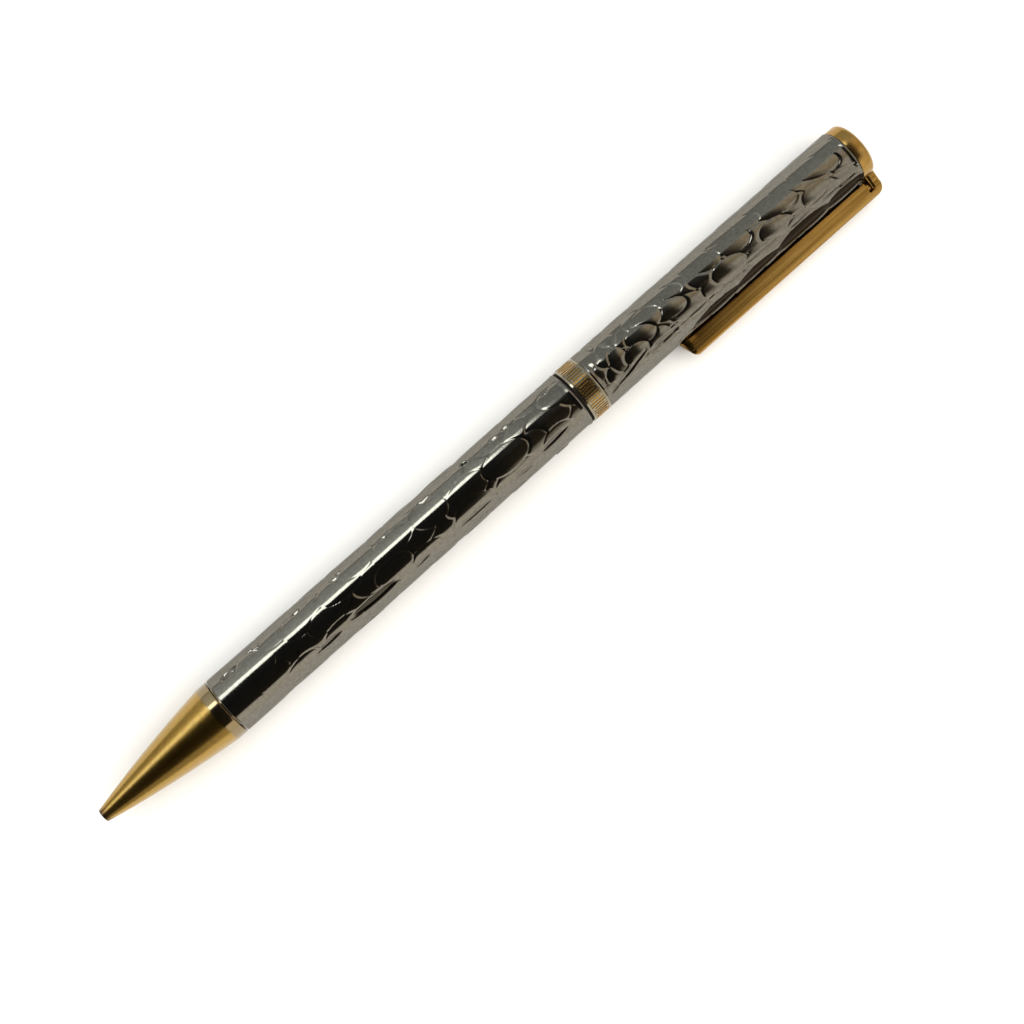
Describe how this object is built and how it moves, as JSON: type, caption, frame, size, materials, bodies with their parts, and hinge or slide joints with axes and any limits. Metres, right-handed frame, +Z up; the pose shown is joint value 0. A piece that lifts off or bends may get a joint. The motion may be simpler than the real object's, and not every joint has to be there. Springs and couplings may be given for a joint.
{
  "type": "twist ball pen",
  "caption": "Slim ball pen with a hammered silver barrel, satin gold nose cone, gold clip and end cap; twisting the upper half moves the refill.",
  "frame": {"origin": "on the table under the middle of the pen's box, as it lies on its barrel and its clip", "axes": "+X along the pen from the nose to the end cap, +Z up from the table, -Y towards the clip"},
  "size_m": [0.139, 0.0116, 0.0088],
  "materials": {
    "hammered_silver": "hammered and polished",
    "polished_silver": "polished",
    "gold_satin": "satin gold plate",
    "gold_polished": "polished gold plate",
    "brass": "turned",
    "steel": "turned",
    "carbide": "lapped",
    "refill_metal": "nickel plated",
    "black_plastic": "matt",
    "grip_plastic": "moulded",
    "ink": "wet",
    "follower_grease": "translucent"
  },
  "bodies": {
    "lower": {"nose_cone": "gold_satin", "lower_barrel": "hammered_silver", "lower_liner": "brass", "mechanism_bush": "brass", "guide_tube": "steel", "bearing_washer": "black_plastic", "retaining_ring": "steel"},
    "cam": {"cam_tube": "brass", "grip_sleeve": "grip_plastic"},
    "upper": {"centre_band": "polished_silver", "band_inlay": "gold_polished", "upper_barrel": "hammered_silver", "upper_liner": "brass", "end_plug": "brass", "clip_head": "gold_polished", "end_cap": "gold_polished", "end_cap_stud": "steel"},
    "clip": {"clip_arm": "gold_polished"},
    "refill": {"carriage": "brass", "carriage_peg": "steel", "refill_tip": "steel", "refill_tube": "refill_metal", "ink_column": "ink", "ink_follower": "follower_grease", "refill_head": "black_plastic"},
    "ball": {"writing_ball": "carbide"}
  },
  "joints": [
    {"name": "twist", "type": "hinge", "parent": "lower", "child": "cam", "pos_m": [0.0305, 0.0014, 0.0044], "axis": [-1, 0, 0], "range_deg": [0, 180]},
    {"name": "pull_off", "type": "slide", "parent": "cam", "child": "upper", "axis": [1, 0, 0], "range_m": [0, 0.05]},
    {"name": "clip_flex", "type": "hinge", "parent": "upper", "child": "clip", "pos_m": [0.0661, -0.00471, 0.00153], "axis": [0, -0.425, 0.9052], "range_deg": [0, 4], "stiffness_Nm_per_rad": 4.4},
    {"name": "refill_travel", "type": "slide", "parent": "lower", "child": "refill", "axis": [-1, 0, 0], "range_m": [0, 0.0033]},
    {"name": "ball_roll", "type": "hinge", "parent": "refill", "child": "ball", "pos_m": [-0.06845, 0.0014, 0.0044], "axis": [0, 1, 0], "continuous": true}
  ],
  "couplings": [
    {"joint": "twist", "follows": "refill_travel", "rad_per_m": 951.99}
  ]
}
